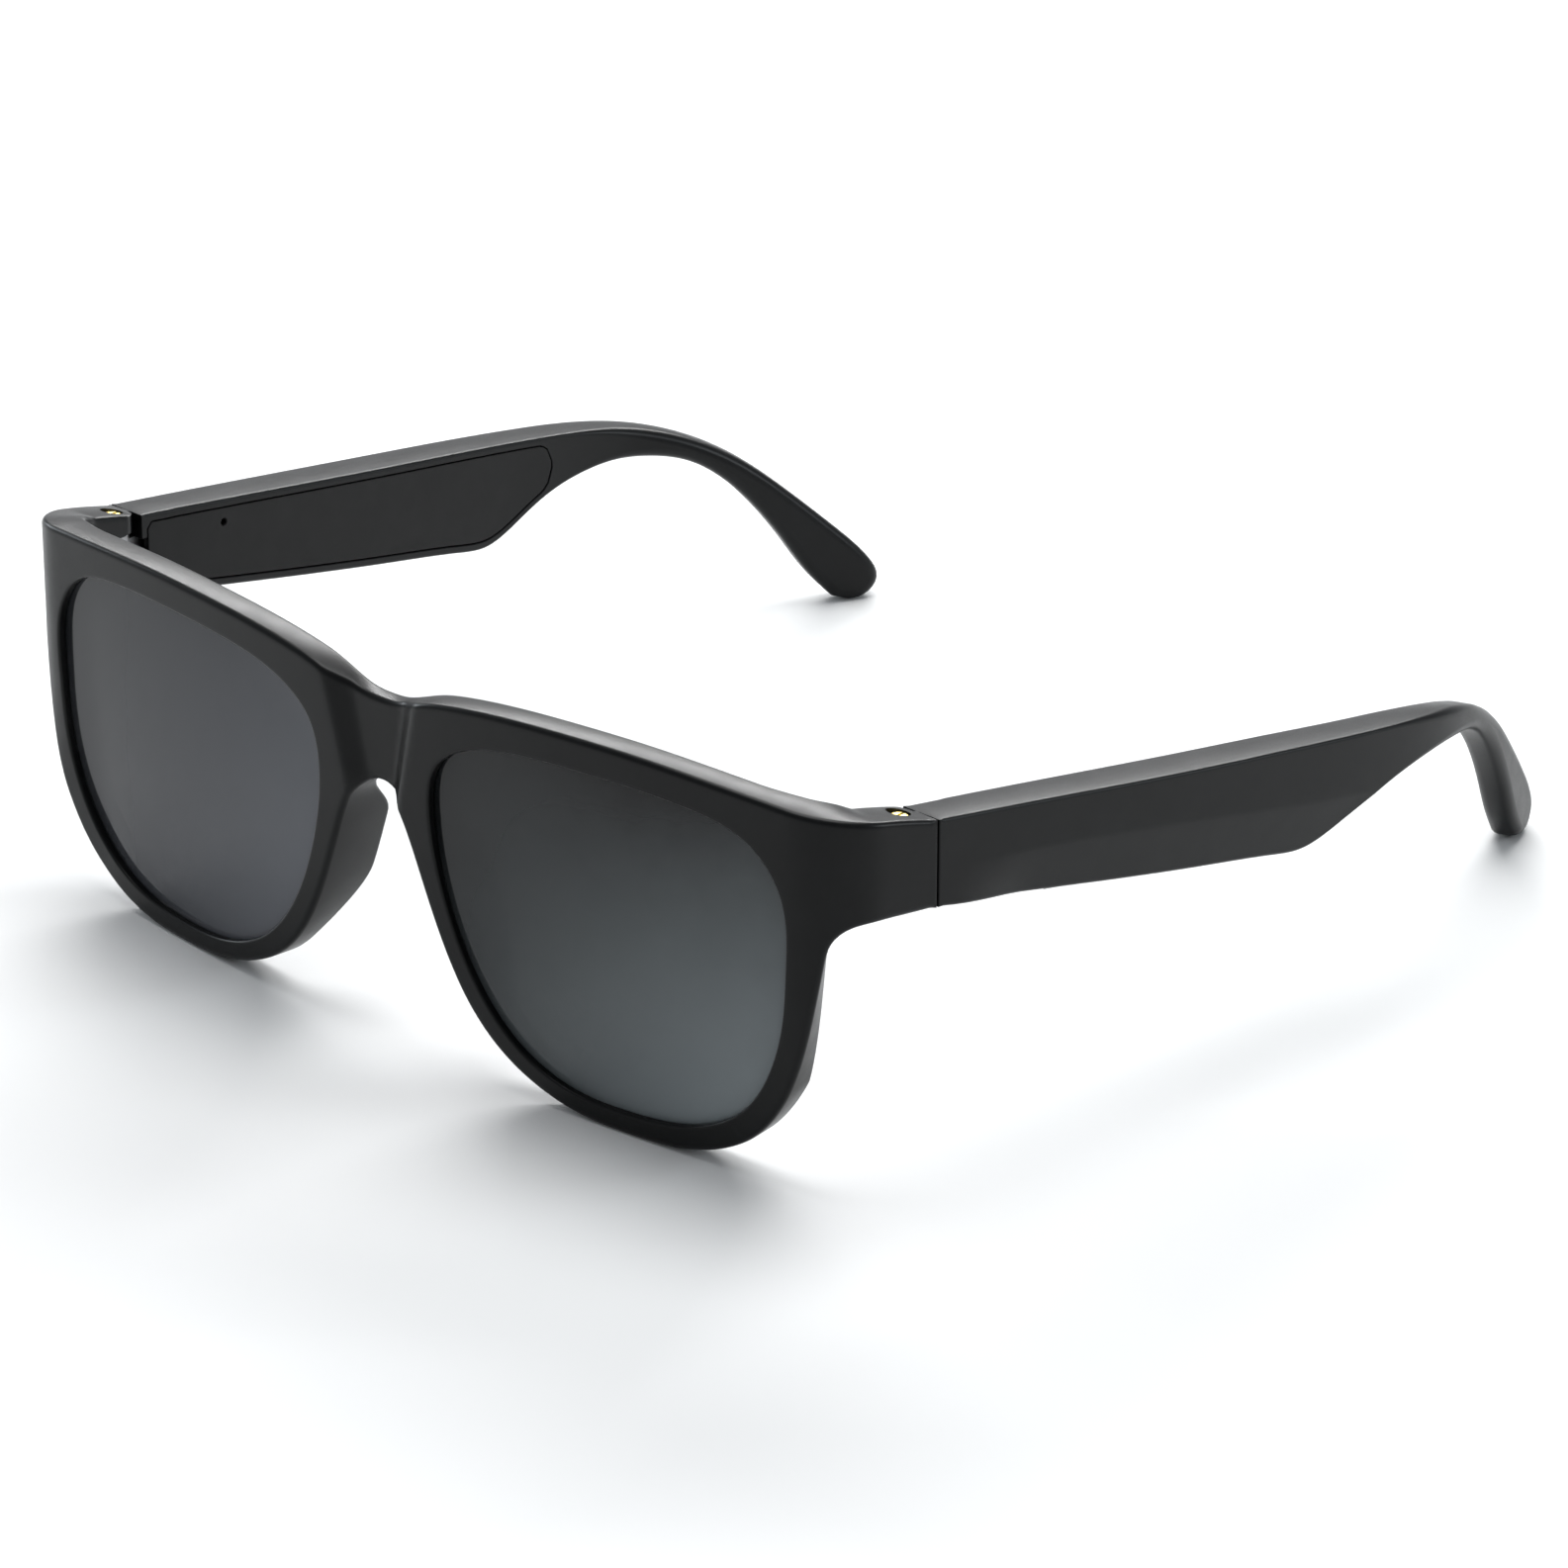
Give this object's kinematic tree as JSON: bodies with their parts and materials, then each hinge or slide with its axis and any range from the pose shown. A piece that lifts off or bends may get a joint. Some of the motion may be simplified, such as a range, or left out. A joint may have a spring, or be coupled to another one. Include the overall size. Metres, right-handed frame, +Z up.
{
  "type": "smart glasses",
  "caption": "Audio smart glasses: bowed front with tinted lenses and two folding temples that hold the electronics, with ear hooks.",
  "frame": {"origin": "centre of the footprint, on the surface that the rim bottoms and temple tips stand on", "axes": "+X to the wearer's left, across the face and normal to the plane of symmetry; -Y the way the lenses face; +Y towards the ears; +Z up"},
  "size_m": [0.1524, 0.151, 0.0503],
  "materials": {
    "frame_black": "satin moulded nylon, fine eggshell texture",
    "lens_grey": "polished tinted lens",
    "cover_black": "fine matt",
    "steel": "plain",
    "brass": "turned, bright",
    "gold_contact": "gold plated",
    "board_green": "solder mask",
    "foil_silver": "foil pouch and shield cans",
    "flex_amber": "polyimide film",
    "speaker_black": "moulded driver box",
    "mesh_dark": "woven acoustic mesh",
    "magnet_nickel": "nickel plated"
  },
  "bodies": {
    "front": {"front_frame": "frame_black", "lens_left": "lens_grey", "lens_right": "lens_grey", "left_hinge_bracket": "steel", "left_hinge_pin": "brass", "left_bracket_screw": "steel", "right_hinge_bracket": "steel", "right_hinge_pin": "brass", "right_bracket_screw": "steel"},
    "left_temple": {"left_hinge_leaf": "steel", "left_leaf_screw": "steel", "left_temple_shell": "frame_black", "left_temple_cover": "cover_black", "left_circuit_board": "board_green", "left_wireless_module": "foil_silver", "left_button_switch": "steel", "left_touch_sensor": "flex_amber", "left_battery": "foil_silver", "left_speaker": "speaker_black", "left_antenna": "flex_amber", "left_microphone": "foil_silver", "left_speaker_mesh": "mesh_dark", "left_charging_magnet": "magnet_nickel", "left_charging_contact_front": "gold_contact", "left_charging_contact_rear": "gold_contact"},
    "left_button": {"left_button": "cover_black"},
    "right_temple": {"right_hinge_leaf": "steel", "right_leaf_screw": "steel", "right_temple_shell": "frame_black", "right_temple_cover": "cover_black", "right_circuit_board": "board_green", "right_wireless_module": "foil_silver", "right_button_switch": "steel", "right_touch_sensor": "flex_amber", "right_battery": "foil_silver", "right_speaker": "speaker_black", "right_antenna": "flex_amber", "right_microphone": "foil_silver", "right_speaker_mesh": "mesh_dark", "right_charging_magnet": "magnet_nickel", "right_charging_contact_front": "gold_contact", "right_charging_contact_rear": "gold_contact"},
    "right_button": {"right_button": "cover_black"}
  },
  "joints": [
    {"name": "left_hinge_fold", "type": "hinge", "parent": "front", "child": "left_temple", "pos_m": [0.069, -0.05608, 0.04005], "axis": [0, 0, 1], "range_deg": [0, 88]},
    {"name": "right_hinge_fold", "type": "hinge", "parent": "front", "child": "right_temple", "pos_m": [-0.069, -0.05608, 0.04005], "axis": [0, 0, -1], "range_deg": [0, 77]},
    {"name": "left_button_press", "type": "slide", "parent": "left_temple", "child": "left_button", "axis": [0, 0, 1], "range_m": [0, 0.0004], "stiffness_N_per_m": 2500, "springref_m": -0.0002},
    {"name": "right_button_press", "type": "slide", "parent": "right_temple", "child": "right_button", "axis": [0, 0, 1], "range_m": [0, 0.0004], "stiffness_N_per_m": 2500, "springref_m": -0.0002}
  ]
}
